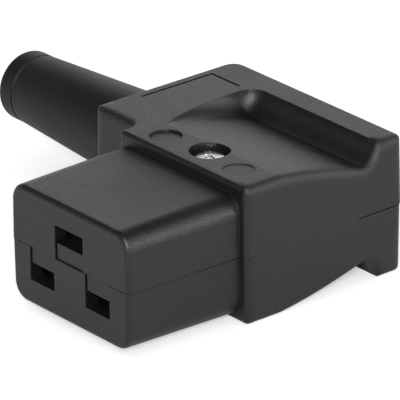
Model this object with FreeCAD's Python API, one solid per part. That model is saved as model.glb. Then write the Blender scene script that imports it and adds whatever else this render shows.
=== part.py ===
import FreeCAD, Part
import math
import os

# Angled rewireable C19 connector, millimetres.
# X runs across the mating nose, the cord leaves towards -X.
# Y runs from the mating face (Y = 0) into the housing, Z is up.
# The two halves of the housing part on the plane Z = 0.

V = FreeCAD.Vector
os.makedirs("parts", exist_ok=True)

# ---- Driving dimensions ---------------------------------------------------------------------

# Mating nose
nose_length = 20.5
nose_half_width = 13.8
nose_top = 9.1
nose_bottom = 9.5
nose_draft = 1.1
nose_edge_radius = 2.8
face_edge_radius = 0.8
parting_step = 0.1

# Slots in the mating face: left and right below the parting plane, earth above it
slot_pitch = 13.0
slot_row = 4.0
line_slot_width = 5.7
earth_slot_width = 6.6
slot_height = 2.8
face_wall = 2.2
tongue_gap_left = 0.35
tongue_gap_right = 0.12
tongue_inset = 0.15

# Housing body behind the nose: a front section with a block that reaches out to the cord
body_depth = 31.0
body_top = 11.2
body_bottom = 10.7
section_left = 14.2
section_right = 15.6
rear_taper = 0.4
block_reach = 24.0
block_setback = 3.3
wall = 2.0
side_draft = 1.0
front_corner_radius = 1.0
rear_right_radius = 1.4
rear_left_radius = 2.5
top_edge_radius = 0.7

# Finger scoop, the same above and below
scoop_lead = 7.1
rear_land = 4.8
scoop_depth = 3.4
scoop_wall_run = 2.8
scoop_left = 13.9
scoop_corner_radius = 3.0
scoop_floor_bow = 5.0
scoop_wall_radius = 4.2
scoop_skin = 1.8

# Housing screw and its well
screw_x = 0.8
screw_behind_nose = 5.5
screw_diameter = 3.5
screw_head_diameter = 5.6
screw_head_height = 2.2
screw_head_sunk = 0.9
screw_length = 14.5
well_room = 0.35
well_wall = 1.4
well_floor = 2.0
boss_diameter = 6.0
boss_gap = 0.1
pilot_room = 1.0
screw_clearance = 0.2

# Round moulding marks beside the well, and the thin engraved corner line
mark_diameter = 5.05
mark_spacing = 8.45
mark_setback = 1.5
left_mark_depth = 0.3
right_mark_depth = 0.1
line_width = 0.45
line_depth = 0.25
line_margin = 1.9
line_from_rear = 6.2
line_run_y = 14.0
line_run_x = 6.8

# Lip that locates the halves, and the prying slot at the rear right corner
lip_height = 1.0
lip_thickness = 0.8
lip_clearance = 0.1
pry_length = 9.0
pry_turn = 4.0
pry_height = 0.25
pry_depth = 0.8

# Cord sleeve
sleeve_exposed = 35.2
sleeve_root_radius = 7.5
sleeve_tip_radius = 5.65
sleeve_bore_radius = 4.4
sleeve_ring_from_tip = 3.7
sleeve_ring_width = 0.4
sleeve_ring_depth = 0.25
sleeve_tip_round = 1.1
sleeve_tip_flat = 0.05
sleeve_neck_radius = 6.4
sleeve_flange_room = 0.5
sleeve_flange_thickness = 1.7
sleeve_fit = 0.1

# Socket contacts, folded from brass strip
brass = 0.8
contact_gap = 1.8
contact_play = 0.25
contact_setback = 0.6
contact_length = 15.0
contact_bend_radius = 1.0
contact_seam = 0.5
spring_steel = 0.4
spring_length = 5.0
spring_fit = 0.05
spring_behind_mouth = 2.0
chamber_side_room = 0.3
spring_mouth = 3.6
chamber_height_room = 0.25

# Screw terminals on the contact tails
terminal_head_room = 0.2
terminal_from_nose = 8.0
terminal_shift = 1.9
earth_terminal_x = -1.8
earth_terminal_from_nose = 14.7
earth_tail_width = 1.8
earth_tail_room = 0.3
tail_clearance = 0.2
line_tail_width = 4.0
terminal_screw_diameter = 3.0
terminal_screw_length = 4.0
terminal_head_diameter = 5.0
terminal_head_height = 1.9
thread_fit = 0.05
collar_diameter = 4.6
collar_height = 1.5
wire_plate = 0.7
wire_plate_flange = 1.2
plate_corner_radius = 0.8
pedestal_wall = 1.0
pedestal_room = 0.3
terminal_tip_room = 0.5

# Cord clamp across the block
clamp_behind_sleeve = 1.2
clamp_width = 5.2
clamp_end_room = 0.6
clamp_ear = 2.5
clamp_arch_wall = 2.0
clamp_screw_edge = 2.2
clamp_head_room = 0.1
clamp_screw_length = 8.0
clamp_boss_diameter = 5.4
clamp_base_drop = 1.0
saddle_thickness = 1.6
saddle_gap = 0.3

# Cross recess in every screw head
cross_length = 0.58
cross_width = 0.14
cross_depth = 0.5

# Shares of a thickness or height
head_crown = 0.4
inner_bend = 0.25
plate_bend = 0.8
tail_overlap = 0.25

# ---- Places worked out from the sizes -----------------------------------------------------

body_front = nose_length
body_rear = body_front + body_depth
block_front = body_front + block_setback
cavity_front = body_front + wall
scoop_start = body_front + scoop_lead
scoop_end = body_rear - rear_land
scoop_foot = scoop_end - scoop_wall_run
screw_y = body_front + screw_behind_nose
screw_seat = body_top - screw_head_sunk - screw_head_height
well_diameter = screw_head_diameter + 2.0 * well_room
pilot_end = screw_seat - screw_length - pilot_room
cord_y = (block_front + body_rear) / 2.0
sleeve_flange_radius = min(body_top, body_bottom) - wall - sleeve_flange_room
sleeve_inside = -block_reach + wall + sleeve_fit
sleeve_end = sleeve_inside + sleeve_flange_thickness
tan_draft = math.tan(math.radians(side_draft))
beyond = 8.0
over = 1.0
slight = 0.5

# Each contact: its name as seen from the mating face with the earth slot on top, its centre
# across the nose, its side of the parting plane, and the width of its slot
poles = [
    ("left", -slot_pitch / 2.0, -1, line_slot_width),
    ("right", slot_pitch / 2.0, -1, line_slot_width),
    ("earth", 0.0, 1, earth_slot_width),
]
socket_half_height = contact_gap / 2.0 + brass
socket_front = face_wall + contact_setback
terminal_size = terminal_head_diameter + 2.0 * (wire_plate + terminal_head_room)
earth_tail_x = screw_x - boss_diameter / 2.0 - earth_tail_room - earth_tail_width / 2.0
clamp_x = sleeve_end + clamp_behind_sleeve + clamp_width / 2.0
clamp_half_length = (body_rear - block_front) / 2.0 - wall - clamp_end_room
clamp_screw_reach = clamp_half_length - clamp_screw_edge

body_plan = [
    (-section_left, body_front),
    (section_right, body_front),
    (section_right - rear_taper, body_rear),
    (-block_reach, body_rear),
    (-block_reach, block_front),
    (-section_left, block_front),
]


# ---- Shared geometry ----------------------------------------------------------------------

def box(x0, x1, y0, y1, z0, z1):
    """Box between two corners."""
    return Part.makeBox(x1 - x0, y1 - y0, z1 - z0, V(x0, y0, z0))


def post(x, y, z0, z1, diameter):
    """Upright cylinder between two heights."""
    return Part.makeCylinder(diameter / 2.0, z1 - z0, V(x, y, z0))


def flip(shape):
    """Mirror in the parting plane."""
    return shape.mirror(V(0, 0, 0), V(0, 0, 1))


def inset(points, distance):
    """Counter-clockwise outline with every side moved inwards by a distance."""
    moved = []
    count = len(points)
    for i in range(count):
        sides = []
        for a, b in ((points[i - 1], points[i]), (points[i], points[(i + 1) % count])):
            dx, dy = b[0] - a[0], b[1] - a[1]
            size = math.hypot(dx, dy)
            nx, ny = -dy / size, dx / size
            sides.append((nx, ny, nx * a[0] + ny * a[1] + distance))
        (a1, b1, c1), (a2, b2, c2) = sides
        det = a1 * b2 - a2 * b1
        moved.append(((c1 * b2 - c2 * b1) / det, (a1 * c2 - a2 * c1) / det))
    return moved


def prism(points, z0, z1):
    """Upright prism on a plan outline."""
    corners = [V(x, y, z0) for x, y in points]
    return Part.Face(Part.makePolygon(corners + corners[:1])).extrude(V(0, 0, z1 - z0))


def rounded_wire(points, radii, place):
    """Closed wire of lines and corner arcs, put in space by a function of two coordinates."""
    ends = []
    arcs = []
    count = len(points)
    for i, radius in enumerate(radii):
        x, y = points[i]
        ways = []
        for px, py in (points[i - 1], points[(i + 1) % count]):
            size = math.hypot(px - x, py - y)
            ways.append(((px - x) / size, (py - y) / size))
        (ax, ay), (bx, by) = ways
        half = math.acos(max(-1.0, min(1.0, ax * bx + ay * by))) / 2.0
        run = radius / math.tan(half)
        first = place(x + ax * run, y + ay * run)
        last = place(x + bx * run, y + by * run)
        mx, my = (ax + bx) / (2.0 * math.cos(half)), (ay + by) / (2.0 * math.cos(half))
        reach = radius / math.sin(half) - radius
        if radius > 0:
            arcs.append(Part.Arc(first, place(x + mx * reach, y + my * reach), last).toShape())
        ends.append((first, last))
    lines = [Part.makeLine(ends[i - 1][1], ends[i][0]) for i in range(count)]
    return Part.Wire(Part.__sortEdges__(arcs + lines))


def inset_radii(points, radii, distance):
    """Corner radii that stay concentric when the outline's sides move inwards."""
    changed = []
    for i, radius in enumerate(radii):
        (x0, y0), (x1, y1), (x2, y2) = points[i - 1], points[i], points[(i + 1) % len(points)]
        outward = (x1 - x0) * (y2 - y1) - (y1 - y0) * (x2 - x1) > 0
        changed.append(0 if radius == 0 else radius - distance if outward else radius + distance)
    return changed


def tapered(points, radii, grow, near_place, far_place):
    """Solid between an outline and the same outline grown by a distance, in two planes."""
    near_wire = rounded_wire(points, radii, near_place)
    far_wire = rounded_wire(inset(points, -grow), inset_radii(points, radii, -grow), far_place)
    return Part.makeLoft([near_wire, far_wire], True, True)


def edges_where(shape, test):
    """Edges whose every end point and middle point pass a test."""
    chosen = []
    for edge in shape.Edges:
        first, last = edge.ParameterRange
        places = [edge.valueAt(first), edge.valueAt(last), edge.valueAt((first + last) / 2.0)]
        if all(test(p) for p in places):
            chosen.append(edge)
    return chosen


def near(a, b, reach=0.02):
    """True where two lengths agree."""
    return abs(a - b) < reach


def one_solid(shape):
    """Merge leftover seams and give back the single solid."""
    merged = shape.removeSplitter()
    return merged.Solids[0] if len(merged.Solids) == 1 else merged


# ---- Outside of one housing half (built upwards, the lower half is flipped) ---------------

def nose_half(height, step):
    """Half of the nose: drafted sides, large long edges and a softened face edge."""
    rate = math.tan(math.radians(nose_draft))
    half = nose_half_width - step
    below = nose_edge_radius
    lean = rate * (height + below)
    corners = [(-half - rate * below, -below), (half + rate * below, -below),
               (half + rate * below - lean, height), (-half - rate * below + lean, height)]
    nose = tapered(corners, [0, 0, nose_edge_radius, nose_edge_radius], cavity_front * rate,
                   lambda x, z: V(x, 0, z), lambda x, z: V(x, cavity_front, z))
    nose = nose.cut(box(-2.0 * half, 2.0 * half, -over, cavity_front + over, -2.0 * below, 0))
    face_edges = edges_where(nose, lambda p: near(p.y, 0))
    face_edges = [e for e in face_edges if e.CenterOfMass.z > 0.1]
    return nose.makeFillet(face_edge_radius, face_edges)


def scoop(height, skin):
    """Finger scoop that is open to the right, or its inner side one skin further in."""
    start = V(0, scoop_start, height - skin)
    foot = V(0, scoop_foot, height - skin - scoop_depth)
    heel = foot + V(0, skin, 0)
    lip = V(0, scoop_end + skin, height - skin)

    def toward(turn, reach):
        return V(0, reach * math.cos(turn), reach * math.sin(turn))

    fall = foot - start
    bow = math.radians(scoop_floor_bow)
    crown = (start + foot) / 2.0 + V(0, -fall.z, fall.y) * (math.tan(bow / 2.0) / 2.0)
    chord = lip - heel
    slope = math.atan2(chord.z, chord.y)
    bow = math.asin(chord.Length / 2.0 / scoop_wall_radius)
    middle = heel + toward(slope - bow / 2.0, 2.0 * scoop_wall_radius * math.sin(bow / 2.0))
    rear = lip + toward(slope + bow, beyond)
    front = V(0, scoop_start, rear.z)
    sides = [Part.Arc(start, crown, foot).toShape(), Part.Arc(heel, middle, lip).toShape()]
    if skin > 0:
        sides.append(Part.makeLine(foot, heel))
    sides += [Part.makeLine(lip, rear), Part.makeLine(rear, front), Part.makeLine(front, start)]
    wire = Part.Wire(Part.__sortEdges__(sides))
    left = -(scoop_left + skin)
    wire.translate(V(left, 0, 0))
    cutter = Part.Face(wire).extrude(V(section_right - left + beyond, 0, 0))
    if skin > 0:
        return cutter

    def at_corner(p):
        return near(p.x, left) and (p.z < height + 0.01 or p.y > scoop_end - 0.01)

    corner = [e for e in edges_where(cutter, at_corner) if e.CenterOfMass.z < rear.z - 0.1]
    return cutter.makeFillet(scoop_corner_radius, corner)


def body_half(height, step):
    """Outside of half the body with its corners, edges and finger scoop."""
    radii = [front_corner_radius, front_corner_radius, rear_right_radius, rear_left_radius,
             front_corner_radius, front_corner_radius]
    body = tapered(inset(body_plan, step), radii, -height * tan_draft,
                   lambda x, y: V(x, y, 0), lambda x, y: V(x, y, height))
    body = body.cut(scoop(height, 0))
    rim = []
    for edge in body.Edges:
        middle = edge.CenterOfMass
        beside_scoop = scoop_start - 0.1 < middle.y < scoop_end + 0.1
        at_right = middle.x > section_right - rear_taper - 2.0 * height * tan_draft
        left_of_scoop = middle.x < -(scoop_left + slight)
        if near(middle.z, height) and (left_of_scoop or at_right or not beside_scoop):
            rim.append(edge)
        elif beside_scoop and at_right and middle.z > height / 2.0:
            rim.append(edge)
    return body.makeFillet(top_edge_radius, rim)


# ---- Slots, contact chambers and the tongues that close them ------------------------------

def socket_half_width(slot_width):
    """Half the outside width of the folded socket behind a slot."""
    return slot_width / 2.0 - contact_play + brass


def chamber_half_width(slot_width):
    """Half the width of the chamber around a socket and its spring."""
    return socket_half_width(slot_width) + spring_fit + spring_steel + chamber_side_room


def chamber(x, slot_width):
    """Slot and chamber above the parting plane, open down to it."""
    half = slot_width / 2.0
    room = chamber_half_width(slot_width)
    ceiling = slot_row + socket_half_height + spring_fit + spring_steel + chamber_height_room
    slot = box(x - half, x + half, -over, face_wall + slight, 0, slot_row + slot_height / 2.0)
    return slot.fuse(box(x - room, x + room, face_wall, cavity_front + slight, 0, ceiling))


def tongue(x, slot_width):
    """Tongue of the other half that fills the chamber's open side."""
    half = slot_width / 2.0
    room = chamber_half_width(slot_width)
    floor = slot_row - socket_half_height - spring_fit - spring_steel - chamber_height_room
    front = box(x - half + tongue_gap_left, x + half - tongue_gap_right,
                tongue_inset, face_wall + slight, 0, slot_row - slot_height / 2.0)
    back = box(x - room + tongue_gap_left, x + room - tongue_gap_right,
               face_wall + tongue_gap_right, cavity_front - tongue_gap_right, 0, floor)
    return front.fuse(back)


# ---- Places of the screw terminals --------------------------------------------------------

def terminal_place(name, x):
    """Centre of a terminal in plan."""
    if name == "earth":
        return earth_terminal_x, body_front + earth_terminal_from_nose
    outwards = terminal_shift if x > 0 else -terminal_shift
    return x + outwards, body_front + terminal_from_nose


def leaf_bottom(side):
    """Height of the underside of a contact's lower leaf and tail."""
    return side * slot_row - socket_half_height


def tail_room():
    """Way through the back of the nose for the earth contact's tail."""
    half = earth_tail_width / 2.0 + tail_clearance
    low = leaf_bottom(1) - tail_clearance
    return box(earth_tail_x - half, earth_tail_x + half, body_front - face_wall,
               cavity_front + over, low, low + brass + 2.0 * tail_clearance)


# ---- Housing halves -----------------------------------------------------------------------

def hollow(height):
    """Space inside half the body, with an even skin under the finger scoop."""
    space = prism(inset(body_plan, wall), 0, height - wall)
    return space.cut(scoop(height, scoop_skin))


def cord_way(radius, x0, x1):
    """Cylinder along the cord's line."""
    return Part.makeCylinder(radius, x1 - x0, V(x0, cord_y, 0), V(1, 0, 0))


def lip_ring(outer, height):
    """Ring inside the wall at the parting plane, left out at the nose and the cord exit."""
    ring = prism(inset(body_plan, outer), 0, height).cut(prism(inset(body_plan, wall), 0, height))
    nose_zone = box(-section_left, section_right, body_front, cavity_front + wall, 0, height)
    exit_half = sleeve_flange_radius + lip_thickness
    exit_zone = box(-block_reach, -block_reach + 2.0 * wall,
                    cord_y - exit_half, cord_y + exit_half, 0, height)
    return ring.cut(nose_zone).cut(exit_zone)


def pry_slot():
    """Thin slot along the rear right corner for parting the halves."""
    ring = prism(inset(body_plan, -over), 0, pry_height)
    ring = ring.cut(prism(inset(body_plan, pry_depth), 0, pry_height))
    corner = box(section_right - rear_taper - pry_turn, section_right + over,
                 body_rear - pry_length, body_rear + over, 0, pry_height)
    return ring.common(corner)


def top_marks():
    """Two shallow round marks and the thin corner line sunk in the top face."""
    marks = []
    y = screw_y - mark_setback
    for x, depth in ((screw_x - mark_spacing, left_mark_depth),
                     (screw_x + mark_spacing, right_mark_depth)):
        marks.append(post(x, y, body_top - depth, body_top + over, mark_diameter))
    x = -block_reach + line_margin
    y = body_rear - line_from_rear
    low = body_top - line_depth
    marks.append(box(x, x + line_width, y - line_run_y, y, low, body_top + over))
    marks.append(box(x, x + line_run_x, y - line_width, y, low, body_top + over))
    return marks


def upper_shell():
    """Upper half: earth chamber, screw well and the tongues over the left and right slots."""
    outside = body_half(body_top, 0).fuse(nose_half(nose_top, 0))
    space = hollow(body_top)
    well_boss = post(screw_x, screw_y, screw_seat - well_floor, body_top,
                     well_diameter + 2.0 * well_wall)
    space = space.cut(well_boss).cut(post(screw_x, screw_y, boss_gap, body_top, boss_diameter))
    shell = outside.cut(space)
    shell = shell.cut(post(screw_x, screw_y, screw_seat, body_top + over, well_diameter))
    shell = shell.cut(post(screw_x, screw_y, 0, body_top, screw_diameter + 2.0 * screw_clearance))
    for name, x, side, width in poles:
        if side > 0:
            shell = shell.cut(chamber(x, width))
    shell = shell.cut(tail_room())
    shell = shell.cut(cord_way(sleeve_neck_radius + sleeve_fit, -block_reach - over,
                               -block_reach + wall + slight))
    shell = shell.cut(lip_ring(wall - lip_thickness - lip_clearance, lip_height + lip_clearance))
    shell = shell.cut(pry_slot())
    for mark in top_marks():
        shell = shell.cut(mark)
    for name, x, side, width in poles:
        if side < 0:
            shell = shell.fuse(flip(tongue(x, width)))
    return one_solid(shell)


def pedestal(name, x, side):
    """Round post under a terminal, with room for the threaded collar."""
    px, py = terminal_place(name, x)
    bore = collar_diameter + 2.0 * pedestal_room
    tube = post(px, py, -body_bottom, leaf_bottom(side), bore + 2.0 * pedestal_wall)
    tip = leaf_bottom(side) + brass + wire_plate - terminal_screw_length
    return tube.cut(post(px, py, tip - terminal_tip_room, body_top, bore))


def terminal_room(name, x, side):
    """Space kept clear of posts and walls around a terminal tab."""
    px, py = terminal_place(name, x)
    half = terminal_size / 2.0 + pedestal_room
    return box(px - half, px + half, py - half, py + half, leaf_bottom(side), 0)


def clamp_places():
    """Centres of the two cord clamp screws."""
    return [(clamp_x, cord_y - clamp_screw_reach), (clamp_x, cord_y + clamp_screw_reach)]


def lower_shell():
    """Lower half: left and right chambers, posts, cord saddle and locating lip."""
    outside = flip(body_half(body_bottom, parting_step).fuse(nose_half(nose_bottom, parting_step)))
    space = flip(hollow(body_bottom))
    space = space.cut(post(screw_x, screw_y, -body_bottom, 0, boss_diameter))
    for name, x, side, width in poles:
        space = space.cut(pedestal(name, x, side))
    for x, y in clamp_places():
        space = space.cut(post(x, y, -body_bottom, -clamp_base_drop, clamp_boss_diameter))
    saddle = box(clamp_x - saddle_thickness / 2.0, clamp_x + saddle_thickness / 2.0,
                 cord_y - clamp_screw_reach, cord_y + clamp_screw_reach,
                 -body_bottom, -clamp_base_drop - saddle_gap)
    saddle = saddle.cut(cord_way(sleeve_bore_radius, -block_reach, 0))
    space = space.cut(saddle)
    for name, x, side, width in poles:
        if side < 0:
            space = space.fuse(terminal_room(name, x, side))
    shell = outside.cut(space)
    for name, x, side, width in poles:
        if side > 0:
            shell = shell.fuse(pedestal(name, x, side).cut(flip(scoop(body_bottom, scoop_skin))))
    shell = shell.cut(post(screw_x, screw_y, pilot_end, 0, screw_diameter + 2.0 * thread_fit))
    for x, y in clamp_places():
        deep = clamp_base_drop + clamp_screw_length
        shell = shell.cut(post(x, y, -deep, 0, terminal_screw_diameter + 2.0 * thread_fit))
    for name, x, side, width in poles:
        if side < 0:
            shell = shell.cut(flip(chamber(x, width)))
    shell = shell.cut(cord_way(sleeve_neck_radius + sleeve_fit, -block_reach - over,
                               -block_reach + wall + slight))
    for name, x, side, width in poles:
        if side > 0:
            shell = shell.fuse(tongue(x, width))
    shell = shell.fuse(lip_ring(wall - lip_thickness, lip_height))
    return one_solid(shell)


# ---- Cord sleeve --------------------------------------------------------------------------

def bend_relief_sleeve():
    """Tapered rubber sleeve, turned about the cord's line, with a flange inside the block."""
    root = -block_reach - sleeve_fit / 2.0
    tip = root - sleeve_exposed
    ring = tip + sleeve_ring_from_tip
    rate = (sleeve_root_radius - sleeve_tip_radius) / (root - ring)
    groove = sleeve_tip_radius - sleeve_ring_depth
    bore = sleeve_bore_radius
    half_ring = sleeve_ring_width / 2.0
    rise = rate * half_ring
    path = [
        (sleeve_end, bore), (sleeve_end, sleeve_flange_radius),
        (sleeve_inside, sleeve_flange_radius), (sleeve_inside, sleeve_neck_radius),
        (root, sleeve_neck_radius), (root, sleeve_root_radius),
        (ring + half_ring, sleeve_tip_radius + rise), (ring + half_ring, groove),
        (ring - half_ring, groove), (ring - half_ring, sleeve_tip_radius),
        (tip, sleeve_tip_radius), (tip, bore),
    ]
    radii = [0] * len(path)
    tip_wall = sleeve_tip_radius - bore
    radii[path.index((tip, sleeve_tip_radius))] = min(sleeve_tip_round, tip_wall - sleeve_tip_flat)
    profile = rounded_wire(path, radii, lambda x, r: V(x, cord_y, r))
    return one_solid(Part.Face(profile).revolve(V(0, cord_y, 0), V(1, 0, 0), 360))


# ---- Screws -------------------------------------------------------------------------------

def pan_screw(x, y, seat, head_diameter, head_height, diameter, length):
    """Pan-head screw with a cross recess, standing head up on its seat."""
    head = post(x, y, seat, seat + head_height, head_diameter)
    crown = edges_where(head, lambda p: near(p.z, seat + head_height))
    head = head.makeChamfer(head_height * head_crown, crown)
    arm = head_diameter * cross_length / 2.0
    slim = head_diameter * cross_width / 2.0
    deep = seat + head_height * (1.0 - cross_depth)
    top = seat + head_height + 1.0
    head = head.cut(box(x - arm, x + arm, y - slim, y + slim, deep, top))
    head = head.cut(box(x - slim, x + slim, y - arm, y + arm, deep, top))
    return one_solid(head.fuse(post(x, y, seat - length, seat, diameter)))


# ---- Contacts, their springs and terminals ------------------------------------------------

def folded_tube(x, z, half_width, half_height, thickness, bend, y0, y1):
    """Square tube along Y with rounded bends, as folded from strip."""
    outer = box(x - half_width, x + half_width, y0, y1, z - half_height, z + half_height)
    long_edges = [e for e in outer.Edges if e.BoundBox.YLength > (y1 - y0) * 0.9]
    outer = outer.makeFillet(bend, long_edges)
    w, h = half_width - thickness, half_height - thickness
    inner = box(x - w, x + w, y0 - over, y1 + over, z - h, z + h)
    long_edges = [e for e in inner.Edges if e.BoundBox.YLength > (y1 - y0) * 0.9]
    return outer.cut(inner.makeFillet(bend * inner_bend, long_edges))


def contact(name, x, side, slot_width):
    """Folded socket with a tail that carries the drilled and collared terminal tab."""
    z = side * slot_row
    back = socket_front + contact_length
    half = socket_half_width(slot_width)
    part = folded_tube(x, z, half, socket_half_height, brass, contact_bend_radius,
                       socket_front, back)
    part = part.cut(box(x - contact_seam / 2.0, x + contact_seam / 2.0, socket_front - over,
                        back + over, z, z + socket_half_height + over))
    low = leaf_bottom(side)
    px, py = terminal_place(name, x)
    size = terminal_size / 2.0
    tab = box(px - size, px + size, py - size, py + size, low, low + brass)
    uprights = [e for e in tab.Edges if e.BoundBox.ZLength > brass * 0.9]
    tab = tab.makeFillet(plate_corner_radius, uprights)
    tail_x = earth_tail_x if name == "earth" else x
    width = earth_tail_width if name == "earth" else line_tail_width
    tail = box(tail_x - width / 2.0, tail_x + width / 2.0, back - contact_length * tail_overlap,
               py - size + plate_corner_radius * 2.0, low, low + brass)
    part = part.fuse(tail).fuse(tab).fuse(post(px, py, low - collar_height, low, collar_diameter))
    hole = terminal_screw_diameter + 2.0 * thread_fit
    part = part.cut(post(px, py, low - collar_height - over, low + brass + over, hole))
    return one_solid(part)


def contact_spring(x, side, slot_width):
    """Steel clip around a socket, open below, that holds its leaves on the pin."""
    z = side * slot_row
    grip = spring_fit + spring_steel
    y0 = socket_front + spring_behind_mouth
    clip = folded_tube(x, z, socket_half_width(slot_width) + grip, socket_half_height + grip,
                       spring_steel, contact_bend_radius + spring_steel, y0, y0 + spring_length)
    mouth = spring_mouth / 2.0
    return one_solid(clip.cut(box(x - mouth, x + mouth, y0 - over, y0 + spring_length + over,
                                  z - socket_half_height - over, z)))


def wire_plate_part(name, x, side):
    """Saddle plate under a terminal screw, with two sides bent up."""
    px, py = terminal_place(name, x)
    low = leaf_bottom(side) + brass
    size = terminal_size / 2.0
    plate = box(px - size, px + size, py - size, py + size, low, low + wire_plate + wire_plate_flange)
    trough = size - wire_plate
    plate = plate.cut(box(px - trough, px + trough, py - size - over, py + size + over,
                          low + wire_plate, low + wire_plate + wire_plate_flange + over))
    bends = edges_where(plate, lambda p: near(p.z, low) and near(abs(p.x - px), size))
    plate = plate.makeFillet(wire_plate * plate_bend, bends)
    hole = terminal_screw_diameter + 2.0 * thread_fit
    return one_solid(plate.cut(post(px, py, low - over, low + wire_plate + over, hole)))


def terminal_screw(name, x, side):
    """Short pan-head screw through the wire plate into the collar."""
    px, py = terminal_place(name, x)
    seat = leaf_bottom(side) + brass + wire_plate
    return pan_screw(px, py, seat, terminal_head_diameter, terminal_head_height,
                     terminal_screw_diameter, terminal_screw_length)


# ---- Cord clamp ---------------------------------------------------------------------------

def cord_clamp_bar():
    """Arched bar that two screws pull down over the cord."""
    x0, x1 = clamp_x - clamp_width / 2.0, clamp_x + clamp_width / 2.0
    low, high = -clamp_base_drop, -clamp_base_drop + clamp_ear
    bar = box(x0, x1, cord_y - clamp_half_length, cord_y + clamp_half_length, low, high)
    bar = bar.fuse(cord_way(sleeve_bore_radius + clamp_arch_wall, x0, x1))
    bar = bar.cut(box(x0 - over, x1 + over, cord_y - clamp_half_length - over,
                      cord_y + clamp_half_length + over, low - 2.0 * body_bottom, low))
    bar = bar.cut(cord_way(sleeve_bore_radius, x0 - over, x1 + over))
    hole = terminal_screw_diameter + 2.0 * screw_clearance
    spot_face = terminal_head_diameter + 2.0 * clamp_head_room
    for x, y in clamp_places():
        bar = bar.cut(post(x, y, low - over, high + over, hole))
        bar = bar.cut(post(x, y, high, high + beyond, spot_face))
    return one_solid(bar)


def clamp_screw(place):
    """Pan-head screw through one ear of the clamp bar."""
    x, y = clamp_places()[place]
    return pan_screw(x, y, clamp_ear - clamp_base_drop, terminal_head_diameter,
                     terminal_head_height, terminal_screw_diameter, clamp_screw_length)


# ---- Write one STEP file for each piece ---------------------------------------------------

nodes = {
    "upper_shell": upper_shell(),
    "lower_shell": lower_shell(),
    "bend_relief_sleeve": bend_relief_sleeve(),
    "housing_screw": pan_screw(screw_x, screw_y, screw_seat, screw_head_diameter,
                               screw_head_height, screw_diameter, screw_length),
    "cord_clamp_bar": cord_clamp_bar(),
    "front_clamp_screw": clamp_screw(0),
    "rear_clamp_screw": clamp_screw(1),
}
for name, x, side, width in poles:
    nodes[name + "_contact"] = contact(name, x, side, width)
    nodes[name + "_spring"] = contact_spring(x, side, width)
    nodes[name + "_wire_plate"] = wire_plate_part(name, x, side)
    nodes[name + "_terminal_screw"] = terminal_screw(name, x, side)

for name, shape in nodes.items():
    if not shape.isValid() or len(shape.Solids) != 1 or not shape.isClosed():
        raise ValueError(name + " is not one closed solid")
    shape.exportStep("parts/" + name + ".step")
    print(name, round(shape.Volume, 1), len(shape.Faces))
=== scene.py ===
import math

import bmesh
import bpy
from mathutils import Matrix, Vector


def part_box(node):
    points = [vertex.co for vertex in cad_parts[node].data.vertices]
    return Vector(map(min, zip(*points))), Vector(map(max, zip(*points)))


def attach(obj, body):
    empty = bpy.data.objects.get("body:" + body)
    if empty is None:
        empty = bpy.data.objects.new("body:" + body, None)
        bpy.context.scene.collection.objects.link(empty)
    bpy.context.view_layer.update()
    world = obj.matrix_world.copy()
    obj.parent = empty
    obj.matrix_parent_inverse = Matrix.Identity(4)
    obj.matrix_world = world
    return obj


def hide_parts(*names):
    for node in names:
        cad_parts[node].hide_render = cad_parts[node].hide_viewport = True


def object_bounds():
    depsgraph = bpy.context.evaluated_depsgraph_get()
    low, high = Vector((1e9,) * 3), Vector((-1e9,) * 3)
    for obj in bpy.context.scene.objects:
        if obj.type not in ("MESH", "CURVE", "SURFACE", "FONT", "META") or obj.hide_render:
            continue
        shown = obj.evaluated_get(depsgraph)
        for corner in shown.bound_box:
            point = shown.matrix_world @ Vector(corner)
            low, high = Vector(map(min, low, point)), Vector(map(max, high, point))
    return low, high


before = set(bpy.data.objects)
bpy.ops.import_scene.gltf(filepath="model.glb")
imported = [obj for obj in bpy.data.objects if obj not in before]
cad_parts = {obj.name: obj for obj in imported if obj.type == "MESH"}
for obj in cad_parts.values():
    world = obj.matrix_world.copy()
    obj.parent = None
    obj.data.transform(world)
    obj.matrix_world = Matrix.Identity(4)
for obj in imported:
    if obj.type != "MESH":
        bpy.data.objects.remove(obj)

cad_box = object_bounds()
scene = bpy.context.scene
scene.view_settings.view_transform = "Standard"


# ---- Camera --------------------------------------------------------------------------------
# A long lens stands nearly 0.8 m away, in front and to the right, and looks down a little, so
# that the mating face, the finger scoop and the cord sleeve all show.

azimuth, elevation, roll = (math.radians(a) for a in (50.964, 23.717, -0.784))
aim = Vector((-0.00041, 0.025, 0.00309))
distance = 0.79393
back = Vector((math.sin(azimuth) * math.cos(elevation),
               -math.cos(azimuth) * math.cos(elevation), math.sin(elevation)))
level = Vector((math.cos(azimuth), math.sin(azimuth), 0.0))
right = level * math.cos(roll) + back.cross(level) * math.sin(roll)
camera = bpy.data.objects.new("camera", bpy.data.cameras.new("camera"))
camera.data.sensor_width = 36.0
camera.data.lens = 482.66
camera.matrix_world = Matrix.Translation(aim + back * distance) @ Matrix(
    (right, back.cross(right), back)).transposed().to_4x4()
scene.collection.objects.link(camera)
scene.camera = camera


# ---- Housing -------------------------------------------------------------------------------
# The two halves are injection moulded in black glass-filled nylon. The mould was spark eroded,
# so every outside face has a fine even grain, a little polished where fingers rub the edges.

def add(tree, kind, inputs=None, **settings):
    """Add a shader node; an input given as a socket is linked, any other is a plain value."""
    node = tree.nodes.new("ShaderNode" + kind)
    for key, value in settings.items():
        setattr(node, key, value)
    for key, value in (inputs or {}).items():
        if isinstance(value, bpy.types.NodeSocket):
            tree.links.new(value, node.inputs[key])
        else:
            node.inputs[key].default_value = value
    return node


def math_of(tree, operation, a, b):
    """Result socket of one sum of two values or sockets."""
    return add(tree, "Math", {0: a, 1: b}, operation=operation).outputs[0]


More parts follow.
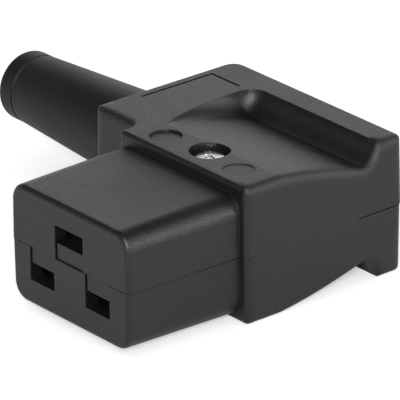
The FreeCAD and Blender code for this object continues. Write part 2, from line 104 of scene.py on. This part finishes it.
def spread(tree, value, low, high, to_low=0.0, to_high=1.0):
    """Result socket of a value spread from one range over another, and kept in it."""
    return add(tree, "MapRange", {"Value": value, "From Min": low, "From Max": high,
                                  "To Min": to_low, "To Max": to_high}).outputs["Result"]


def blend_values(tree, share, first, second):
    """Result socket of two values mixed by a mask."""
    return add(tree, "Mix", {0: share, 2: first, 3: second}, data_type="FLOAT").outputs[0]


def blend_colours(tree, share, first, second):
    """Result socket of two colours mixed by a mask."""
    return add(tree, "Mix", {0: share, 6: first, 7: second}, data_type="RGBA").outputs[2]


def point_of(tree):
    """Result socket of the shaded point in the object's own coordinates."""
    return add(tree, "TexCoord").outputs["Object"]


def axes_of(tree):
    """Result sockets X, Y and Z of the shaded point."""
    return add(tree, "SeparateXYZ", {0: point_of(tree)}).outputs


def new_group(name, inputs, outputs):
    """Shader node group with float inputs and the outputs named with their kinds."""
    tree = bpy.data.node_groups.new(name, "ShaderNodeTree")
    for label, value in inputs.items():
        tree.interface.new_socket(label, in_out="INPUT",
                                  socket_type="NodeSocketFloat").default_value = value
    for label, kind in outputs.items():
        tree.interface.new_socket(label, in_out="OUTPUT", socket_type="NodeSocket" + kind)
    given = tree.nodes.new("NodeGroupInput").outputs
    result = tree.nodes.new("NodeGroupOutput").inputs
    return tree, given, result


# grain of a spark-eroded mould: fine noise with round craters in it
tree, given, result = new_group("moulded_grain", {"Size": 0.0003},
                                {"Height": "Float", "Pits": "Float"})
moulded_grain = tree
point = point_of(tree)
density = math_of(tree, "DIVIDE", 1.0, given["Size"])
sparks = add(tree, "TexNoise", {"Vector": point, "Scale": density, "Detail": 4.0,
                                "Roughness": 0.65}).outputs[0]
craters = add(tree, "TexVoronoi", {"Vector": point, "Scale": density,
                                   "Randomness": 1.0}).outputs["Distance"]
height = math_of(tree, "ADD", math_of(tree, "MULTIPLY", sparks, 0.65),
                 math_of(tree, "MULTIPLY", craters, 0.35))
tree.links.new(height, result["Height"])
tree.links.new(spread(tree, craters, 0.45, 0.75), result["Pits"])

# edges rounded by their width, and a patchy mask of where they are rubbed
tree, given, result = new_group("rubbed_edges", {"Width": 0.0004, "Patch Size": 0.004},
                                {"Mask": "Float", "Normal": "Vector"})
rubbed_edges = tree
rounded = add(tree, "Bevel", {"Radius": given["Width"]}, samples=6).outputs[0]
flat = add(tree, "NewGeometry").outputs["Normal"]
agreement = add(tree, "VectorMath", {0: rounded, 1: flat}, operation="DOT_PRODUCT")
on_edge = spread(tree, agreement.outputs["Value"], 0.995, 0.86)
density = math_of(tree, "DIVIDE", 1.0, given["Patch Size"])
patches = add(tree, "TexNoise", {"Vector": point_of(tree), "Scale": density, "Detail": 5.0,
                                 "Roughness": 0.7}).outputs[0]
rubbed = math_of(tree, "MULTIPLY", on_edge, spread(tree, patches, 0.35, 0.65))
tree.links.new(rubbed, result["Mask"])
tree.links.new(rounded, result["Normal"])

# most edges are crisp, but the rims of the body's right side and of the cord block's front
# side are moulded with a wide soft round, away from the plane where the halves part
shell_low, shell_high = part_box("upper_shell")
nose_root = 0.0205
right_rim = shell_high.x - 0.0032
right_rim_front = nose_root + 0.0003
block_rim = -0.0145
block_rim_rear = nose_root + 0.0060
fade = 0.0005
tree, given, result = new_group("soft_rims", {"Sharp": 0.00015, "Soft": 0.0022},
                                {"Width": "Float"})
soft_rims = tree
place = axes_of(tree)
off_parting = spread(tree, math_of(tree, "ABSOLUTE", place["Z"], 0.0), 0.003, 0.004)
on_right = math_of(tree, "MULTIPLY",
                   spread(tree, place["X"], right_rim, right_rim + fade),
                   spread(tree, place["Y"], right_rim_front, right_rim_front + fade))
on_block = math_of(tree, "MULTIPLY",
                   spread(tree, place["X"], block_rim, block_rim - fade),
                   spread(tree, place["Y"], block_rim_rear + fade, block_rim_rear))
on_rim = math_of(tree, "MULTIPLY", off_parting, math_of(tree, "MAXIMUM", on_right, on_block))
tree.links.new(blend_values(tree, on_rim, given["Sharp"], given["Soft"]), result["Width"])

# painted shade: the thin corner line engraved in the rear land is painted near black and fully
# matt, in place of the shade inside it; this is the box that the line's floor and walls lie in,
# just under the land
line_low = Vector((shell_low.x + 0.0014, shell_high.y - 0.0208, shell_high.z - 0.00030))
line_high = Vector((shell_low.x + 0.0092, shell_high.y - 0.0057, shell_high.z - 0.00003))
tree, _, result = new_group("engraved_line_shade", {}, {"Mask": "Float"})
engraved_line_shade = tree
place = axes_of(tree)
spans = []
for axis, low, high in zip("XYZ", line_low, line_high):
    above = math_of(tree, "GREATER_THAN", place[axis], low)
    below = math_of(tree, "LESS_THAN", place[axis], high)
    spans.append(math_of(tree, "MULTIPLY", above, below))
over_line = math_of(tree, "MULTIPLY", spans[0], spans[1])
tree.links.new(math_of(tree, "MULTIPLY", over_line, spans[2]), result["Mask"])

# broad patches left by handling, and a few specks of dust
dust_density = 1900.0
tree, given, result = new_group("handling", {"Size": 0.012},
                                {"Patches": "Float", "Specks": "Float"})
handling = tree
point = point_of(tree)
density = math_of(tree, "DIVIDE", 1.0, given["Size"])
clouds = add(tree, "TexNoise", {"Vector": point, "Scale": density, "Detail": 6.0,
                                "Roughness": 0.6, "Distortion": 0.4}).outputs[0]
dust = add(tree, "TexNoise", {"Vector": point, "Scale": dust_density, "Detail": 2.0}).outputs[0]
tree.links.new(spread(tree, clouds, 0.3, 0.7), result["Patches"])
tree.links.new(spread(tree, dust, 0.74, 0.80), result["Specks"])


def effect(tree, group, **values):
    """Outputs of a shared effect, placed in a material with its own values."""
    return add(tree, "Group", values, node_tree=group).outputs


def new_material(name, **constants):
    """Material with one Principled shader, whose plain values are set on its own sockets."""
    material = bpy.data.materials.new(name)
    material.use_nodes = True
    shader = material.node_tree.nodes["Principled BSDF"]
    for label, value in constants.items():
        shader.inputs[label.replace("_", " ")].default_value = value
    return material, material.node_tree, shader.inputs


def grey(value, warmth=0.0):
    """Opaque grey, warmer by a share."""
    return (value * (1.0 + warmth), value, value * (1.0 - warmth), 1.0)


# the halves meet in a hairline seam, which all but closes within 2 mm behind the nose's root
seam_width = 0.00013
seam_depth = 0.00012
seam_closing = 0.002
seam_closed = 0.85


def moulded_plastic(name, colour, rubbed, grain_size, grain_height, gloss):
    """Grained black plastic: its colour, that of rubbed edges, its grain and roughness range."""
    material, tree, surface = new_material(name, IOR=1.5)
    grain = effect(tree, moulded_grain, Size=grain_size)
    edges = effect(tree, rubbed_edges, Width=effect(tree, soft_rims)["Width"])
    worn = effect(tree, handling)
    groove_shade = effect(tree, engraved_line_shade)["Mask"]

    handled = [c * 1.35 for c in colour[:3]] + [1.0]
    tone = blend_colours(tree, worn["Patches"], colour, handled)
    specks = math_of(tree, "MULTIPLY", worn["Specks"], 0.35)
    tone = blend_colours(tree, specks, tone, grey(0.16))
    polished = math_of(tree, "MULTIPLY", edges["Mask"], 0.5)
    tone = blend_colours(tree, polished, tone, rubbed)
    # painted shade: the engraved line is painted near black here, and made fully matt further down
    tone = blend_colours(tree, groove_shade, tone, grey(0.001))
    tree.links.new(tone, surface["Base Color"])

    matt = spread(tree, worn["Patches"], 0.0, 1.0, gloss[0], gloss[1])
    matt = math_of(tree, "SUBTRACT", matt, math_of(tree, "MULTIPLY", edges["Mask"], 0.08))
    matt = math_of(tree, "ADD", matt, math_of(tree, "MULTIPLY", grain["Pits"], 0.06))
    matt = math_of(tree, "MAXIMUM", matt, groove_shade)
    tree.links.new(matt, surface["Roughness"])

    place = axes_of(tree)
    off_seam = spread(tree, math_of(tree, "ABSOLUTE", place["Z"], 0.0), 0.0, seam_width)
    closed = spread(tree, place["Y"], nose_root, nose_root + seam_closing, 0.0, seam_closed)
    off_seam = math_of(tree, "MAXIMUM", off_seam, closed)
    seam = add(tree, "Bump", {"Strength": 1.0, "Distance": seam_depth, "Height": off_seam,
                              "Normal": edges["Normal"]}).outputs[0]
    relief = add(tree, "Bump", {"Strength": 0.8, "Distance": grain_height,
                                "Height": grain["Height"], "Normal": seam}).outputs[0]
    tree.links.new(relief, surface["Normal"])
    return material


def dress(node, material):
    """Give a frame node its finish."""
    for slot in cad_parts[node].material_slots:
        slot.material = material


housing_plastic = moulded_plastic("housing_plastic", colour=grey(0.006, 0.02),
                                  rubbed=grey(0.03, 0.01), grain_size=0.00030,
                                  grain_height=0.00010, gloss=(0.30, 0.37))
dress("upper_shell", housing_plastic)
dress("lower_shell", housing_plastic)


# ---- Cord sleeve ---------------------------------------------------------------------------
# The bend relief is a separate tapered sleeve in soft black rubber, moulded smoother than the
# housing, with its flange caught behind the block's wall.

rubber, tree, surface = new_material("sleeve_rubber", IOR=1.42)
grain = effect(tree, moulded_grain, Size=0.00035)
worn = effect(tree, handling, Size=0.02)
edges = effect(tree, rubbed_edges, Width=0.00035)
tone = blend_colours(tree, worn["Patches"], grey(0.005), grey(0.008))
polished = math_of(tree, "MULTIPLY", edges["Mask"], 0.3)
tone = blend_colours(tree, polished, tone, grey(0.02))
tree.links.new(tone, surface["Base Color"])
tree.links.new(spread(tree, worn["Patches"], 0.0, 1.0, 0.43, 0.52), surface["Roughness"])
relief = add(tree, "Bump", {"Strength": 0.5, "Distance": 0.00003, "Height": grain["Height"],
                            "Normal": edges["Normal"]}).outputs[0]
tree.links.new(relief, surface["Normal"])
dress("bend_relief_sleeve", rubber)


# ---- Cord clamp bar ------------------------------------------------------------------------
# A short moulded bar of black nylon lies across the cord inside the block. Two screws hold it
# down, so that a pull on the cord doesn't reach the terminals.

clamp_plastic = moulded_plastic("clamp_plastic", colour=grey(0.02), rubbed=grey(0.06),
                                grain_size=0.00030, grain_height=0.00003, gloss=(0.4, 0.5))
dress("cord_clamp_bar", clamp_plastic)


# ---- Screws and wire plates ----------------------------------------------------------------
# The clamp screws, terminal screws and wire plates are steel, turned or pressed, and zinc
# plated bright. The housing screw has the same plating, and its scratches, which fan out from
# an object's own upright axis, run out from the middle of its head.

scratch_tone = (0.08, 0.08, 0.08, 1.0)
zinc, tree, surface = new_material("screw_steel", Metallic=1.0)
worn = effect(tree, handling, Size=0.0015)
edges = effect(tree, rubbed_edges, Width=0.00008)
place = axes_of(tree)
bearing = math_of(tree, "ARCTAN2", place["Y"], place["X"])
scratches = add(tree, "TexNoise", {"W": bearing, "Scale": 6.0, "Detail": 2.0},
                noise_dimensions="1D").outputs[0]
scratches = spread(tree, scratches, 0.52, 0.57)
tone = blend_colours(tree, worn["Patches"], (0.94, 0.94, 0.95, 1.0), (0.98, 0.98, 0.97, 1.0))
tone = blend_colours(tree, math_of(tree, "MULTIPLY", scratches, 0.85), tone, scratch_tone)
tree.links.new(tone, surface["Base Color"])
matt = spread(tree, worn["Patches"], 0.0, 1.0, 0.12, 0.18)
matt = math_of(tree, "ADD", matt, math_of(tree, "MULTIPLY", scratches, 0.15))
tree.links.new(matt, surface["Roughness"])
relief = add(tree, "Bump", {"Strength": 0.15, "Distance": 0.00003, "Height": scratches,
                            "Normal": edges["Normal"]}).outputs[0]
tree.links.new(relief, surface["Normal"])
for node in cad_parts:
    if node.endswith(("_screw", "_wire_plate")):
        dress(node, zinc)


# ---- Socket contacts and their springs -----------------------------------------------------
# Each contact is folded from brass strip, which has dulled a little, and lies in its chamber.
# A clip of plain spring steel presses its leaves together.

def strip_metal(name, patch_size, dull, bright, gloss):
    """Bare metal strip: size of its dull patches, its two tones and its roughness range."""
    material, tree, surface = new_material(name, Metallic=1.0)
    worn = effect(tree, handling, Size=patch_size)
    tree.links.new(blend_colours(tree, worn["Patches"], dull, bright), surface["Base Color"])
    matt = spread(tree, worn["Patches"], 0.0, 1.0, gloss[0], gloss[1])
    tree.links.new(matt, surface["Roughness"])
    return material


spring_steel = strip_metal("spring_steel", patch_size=0.002, dull=grey(0.45),
                           bright=grey(0.6), gloss=(0.3, 0.45))
brass = strip_metal("contact_brass", patch_size=0.003, dull=(0.16, 0.12, 0.06, 1.0),
                    bright=(0.26, 0.20, 0.10, 1.0), gloss=(0.25, 0.4))
for pole in ("left", "right", "earth"):
    dress(pole + "_contact", brass)
    dress(pole + "_spring", spring_steel)


# ---- Housing screw -------------------------------------------------------------------------
# One steel screw with a raised head and a cross recess, zinc plated bright, goes in last and
# holds the halves together. It cuts its own thread in the lower half's post.

def turned(mesh, profile, around):
    """Rings of points about the upright axis, joined into a skin that closes at both ends."""
    rings = []
    for radius, height in profile:
        if radius == 0.0:
            rings.append([mesh.verts.new((0.0, 0.0, height))] * around)
            continue
        turns = [2.0 * math.pi * i / around for i in range(around)]
        rings.append([mesh.verts.new((radius * math.cos(turn), radius * math.sin(turn), height))
                      for turn in turns])
    for upper, lower in zip(rings, rings[1:]):
        for i in range(around):
            corners = (upper[i - 1], lower[i - 1], lower[i], upper[i])
            mesh.faces.new(list(dict.fromkeys(corners)))


def new_object(name, mesh):
    """Object made from a finished bmesh, in the scene."""
    data = bpy.data.meshes.new(name)
    bmesh.ops.recalc_face_normals(mesh, faces=mesh.faces)
    mesh.to_mesh(data)
    mesh.free()
    piece = bpy.data.objects.new(name, data)
    scene.collection.objects.link(piece)
    return piece


screw_low, screw_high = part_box("housing_screw")
head_radius = (screw_high.x - screw_low.x) / 2.0
head_height = 0.0022
head_chamfer = 0.00015
crown_radius = head_radius * 0.74
crown_drop = 0.00012
shoulder_height = 0.00095
shoulder_start = math.radians(45.0)
shoulder_steps = 8
shank_radius = 0.00175
thread_depth = 0.0003
thread_pitch = 0.0006
plain_length = 0.002
tip_radius = 0.0008
tip_length = 0.001

# profile from the middle of the crown, over the shoulder and down the thread to the tip
seat = screw_high.z - head_height
profile = [(crown_radius * share, screw_high.z - crown_drop * share * share)
           for share in (0.0, 0.2, 0.4, 0.6, 0.8, 1.0)]
for step in range(1, shoulder_steps + 1):
    turn = shoulder_start + (math.pi / 2.0 - shoulder_start) * step / shoulder_steps
    outward = (math.sin(turn) - math.sin(shoulder_start)) / (1.0 - math.sin(shoulder_start))
    downward = 1.0 - math.cos(turn) / math.cos(shoulder_start)
    profile.append((crown_radius + (head_radius - crown_radius) * outward,
                    screw_high.z - crown_drop - shoulder_height * downward))
profile += [(head_radius, seat + head_chamfer), (head_radius - head_chamfer, seat),
            (shank_radius, seat)]
core_radius = shank_radius - thread_depth
height = seat - plain_length
while height > screw_low.z + plain_length:
    profile += [(shank_radius, height), (core_radius, height - thread_pitch / 2.0)]
    height -= thread_pitch
profile += [(core_radius, screw_low.z + tip_length), (tip_radius, screw_low.z),
            (0.0, screw_low.z)]
body = bmesh.new()
turned(body, profile, around=64)
screw = new_object("housing_screw_detailed", body)

# the cross recess narrows downwards, to under half its width at its floor
wing = 0.00115
half_width = 0.00016
recess_depth = 0.0013
floor_share = 0.45
over = 0.0002
arm = [(half_width, half_width), (half_width, wing), (-half_width, wing)]
recess = bmesh.new()
top = []
bottom = []
for quarter in range(4):
    spin = Matrix.Rotation(math.pi / 2.0 * quarter, 4, "Z")
    for x, y in arm:
        corner = spin @ Vector((x, y, 0.0))
        top.append(recess.verts.new((corner.x, corner.y, screw_high.z + over)))
        bottom.append(recess.verts.new((corner.x * floor_share, corner.y * floor_share,
                                        screw_high.z - recess_depth)))
recess.faces.new(top)
recess.faces.new(bottom[::-1])
for i in range(len(top)):
    recess.faces.new((top[i - 1], bottom[i - 1], bottom[i], top[i]))
cutter = new_object("recess_cutter", recess)
cut = screw.modifiers.new("recess", "BOOLEAN")
cut.operation = "DIFFERENCE"
cut.solver = "EXACT"
cut.object = cutter
bpy.context.view_layer.update()
finished = screw.evaluated_get(bpy.context.evaluated_depsgraph_get())
screw.data = bpy.data.meshes.new_from_object(finished)
screw.modifiers.clear()
bpy.data.objects.remove(cutter)
screw.location = ((screw_low.x + screw_high.x) / 2.0, (screw_low.y + screw_high.y) / 2.0, 0.0)
screw.data.materials.clear()
screw.data.materials.append(zinc)
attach(screw, "root")
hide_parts("housing_screw")


# ---- Table ---------------------------------------------------------------------------------
# A matt white table runs past the view on all sides, a hair under the rest face. It glows a
# little, almost only for the camera, so that it looks as pale as the room behind it.

def ray_kinds(tree):
    """Result sockets that tell the camera's own rays, and those by way of gloss or glass."""
    path = add(tree, "LightPath").outputs
    mirrored = math_of(tree, "MAXIMUM", path["Is Glossy Ray"], path["Is Transmission Ray"])
    return path["Is Camera Ray"], mirrored


reach = 1.5
table_gap = 0.00003
table_top = cad_box[0].z - table_gap
floor_mesh = bpy.data.meshes.new("floor")
floor_mesh.from_pydata([(-reach, -reach, table_top), (reach, -reach, table_top),
                        (reach, reach, table_top), (-reach, reach, table_top)], [], [(0, 1, 2, 3)])
floor = bpy.data.objects.new("floor", floor_mesh)
scene.collection.objects.link(floor)
white, tree, surface = new_material("white_table", Roughness=0.9, Specular_IOR_Level=0.0,
                                    Base_Color=(0.88, 0.88, 0.88, 1.0),
                                    Emission_Color=(1.0, 1.0, 1.0, 1.0))
from_camera, mirrored = ray_kinds(tree)
glow = math_of(tree, "MAXIMUM", math_of(tree, "MULTIPLY", from_camera, 0.45),
               math_of(tree, "MULTIPLY", mirrored, 0.02))
tree.links.new(glow, surface["Emission Strength"])
floor_mesh.materials.append(white)


# ---- Room and lamps ------------------------------------------------------------------------
# The room is white and lights the object evenly. Gloss shows more of it: bright walls under a
# dark ceiling, a curtain at the front left, a window at the rear right and a skylight high on
# the right. Three soft lamps stand round the table.

world = bpy.data.worlds.new("white_room")
world.use_nodes = True
scene.world = world
room_tree = world.node_tree
from_camera, mirrored = ray_kinds(room_tree)
toward = add(room_tree, "TexCoord").outputs["Generated"]


def seen_about(direction, rim, middle, outside, inside):
    """Result socket of a level that changes about one direction, from its rim to its middle."""
    nearness = add(room_tree, "VectorMath", {0: toward, 1: direction}, operation="DOT_PRODUCT")
    return spread(room_tree, nearness.outputs["Value"], rim, middle, outside, inside)


even_light = 0.55
height = add(room_tree, "SeparateXYZ", {0: toward}).outputs["Z"]
ceiling = spread(room_tree, height, 0.30, 0.65, 1.0, 0.10)
curtain = seen_about((-0.776, -0.630, 0.0), 0.35, 0.65, 1.0, 0.36)
window = seen_about((0.74, 0.60, 0.30), 0.78, 0.96, 0.0, 1.3)
skylight = seen_about((0.68, -0.31, 0.66), 0.88, 0.96, 0.0, 2.5)
in_gloss = math_of(room_tree, "MULTIPLY", ceiling, curtain)
in_gloss = math_of(room_tree, "ADD", math_of(room_tree, "ADD", in_gloss, window), skylight)
strength = blend_values(room_tree, mirrored, even_light, in_gloss)
strength = blend_values(room_tree, from_camera, strength, 1.0)
room = room_tree.nodes["Background"]
room.inputs["Color"].default_value = (1.0, 1.0, 1.0, 1.0)
room_tree.links.new(strength, room.inputs["Strength"])


def soft_lamp(name, direction, far, size, energy, colour=(1.0, 1.0, 1.0)):
    """Square lamp that stands off the object in a direction and faces it."""
    lamp = bpy.data.objects.new(name, bpy.data.lights.new(name, "AREA"))
    lamp.data.size = size
    lamp.data.energy = energy
    lamp.data.color = colour
    away = Vector(direction).normalized()
    lamp.location = aim + away * far
    lamp.rotation_euler = away.to_track_quat("Z", "Y").to_euler()
    scene.collection.objects.link(lamp)


soft_lamp("rear_softbox", (-0.711, 0.577, 0.50), far=0.7, size=0.5, energy=0.19,
          colour=(1.0, 0.93, 0.80))
soft_lamp("front_softbox", (0.66, -0.60, 0.45), far=0.7, size=0.16, energy=3.0)
soft_lamp("right_softbox", (0.76, 0.577, 0.16), far=0.7, size=0.14, energy=0.5)
